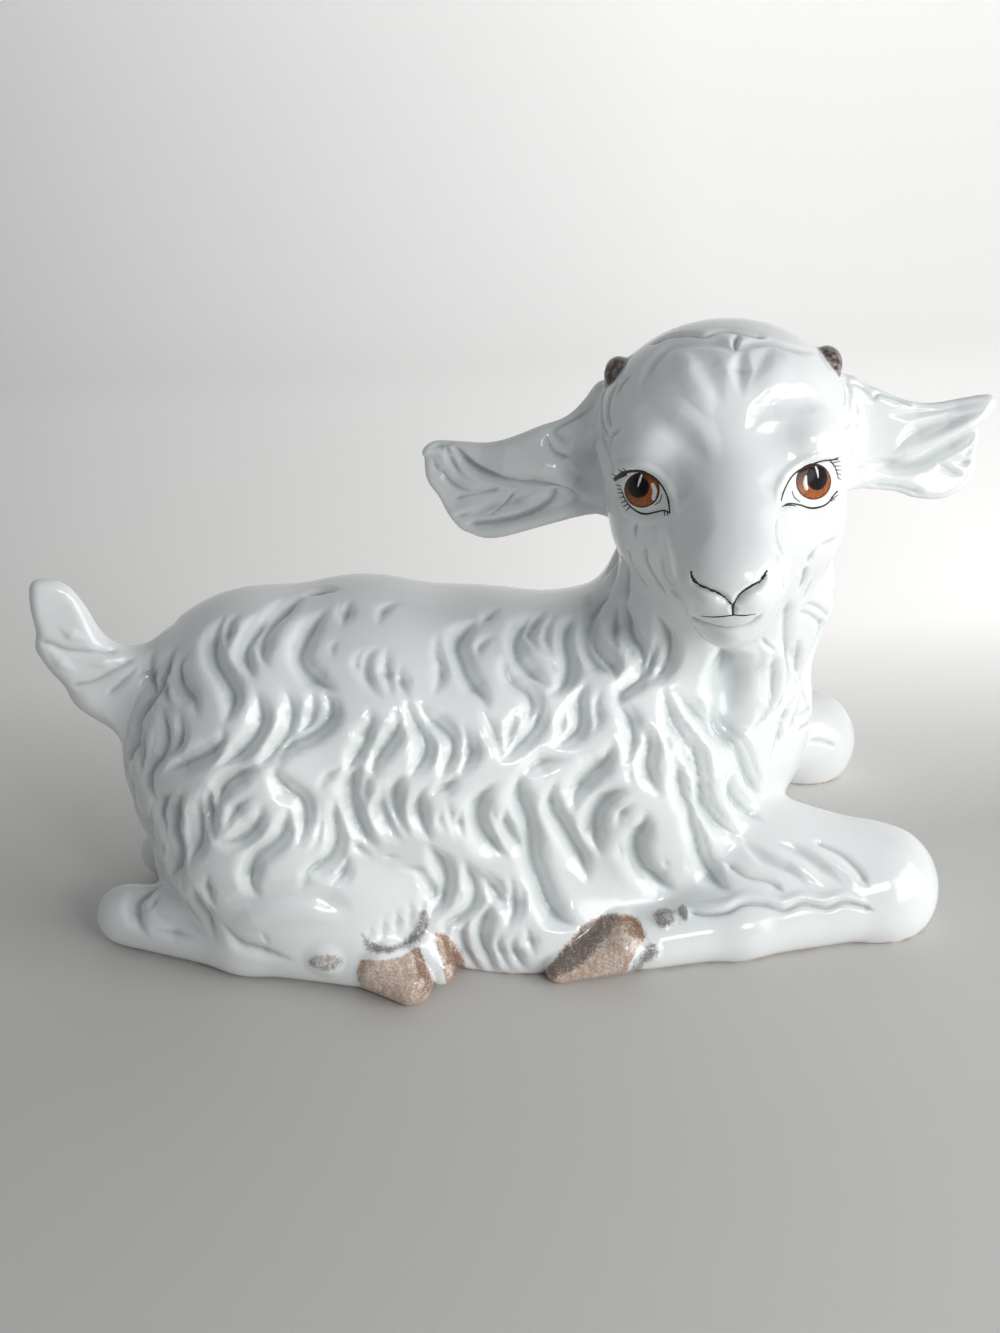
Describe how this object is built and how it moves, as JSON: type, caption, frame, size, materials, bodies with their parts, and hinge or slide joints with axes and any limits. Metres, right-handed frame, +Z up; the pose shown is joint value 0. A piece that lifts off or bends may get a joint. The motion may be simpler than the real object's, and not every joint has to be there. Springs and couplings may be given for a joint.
{
  "type": "goat statue",
  "caption": "Glazed white ceramic statue of a lying kid goat with its head turned to one side, tail raised, on a flat base.",
  "frame": {"origin": "on the flat underside, midway between the flanks, under the middle of the barrel", "axes": "+X towards the goat's chest, +Y to the goat's left side, +Z up"},
  "size_m": [0.4453, 0.2248, 0.2897],
  "materials": {
    "coat": "glossy cool white glaze",
    "hoof": "glossy pinkish brown wash under clear glaze",
    "horn": "glossy grey brown stain under clear glaze"
  },
  "bodies": {
    "root": {"trunk": "coat", "head": "coat", "right_ear": "coat", "left_ear": "coat", "right_horn_bud": "horn", "left_horn_bud": "horn", "tail": "coat", "right_foreleg": "coat", "left_foreleg": "coat", "right_hind_leg": "coat", "left_hind_leg": "coat", "right_fore_hoof": "hoof", "left_fore_hoof": "hoof", "right_hind_hoof": "hoof", "left_hind_hoof": "hoof"}
  },
  "joints": []
}
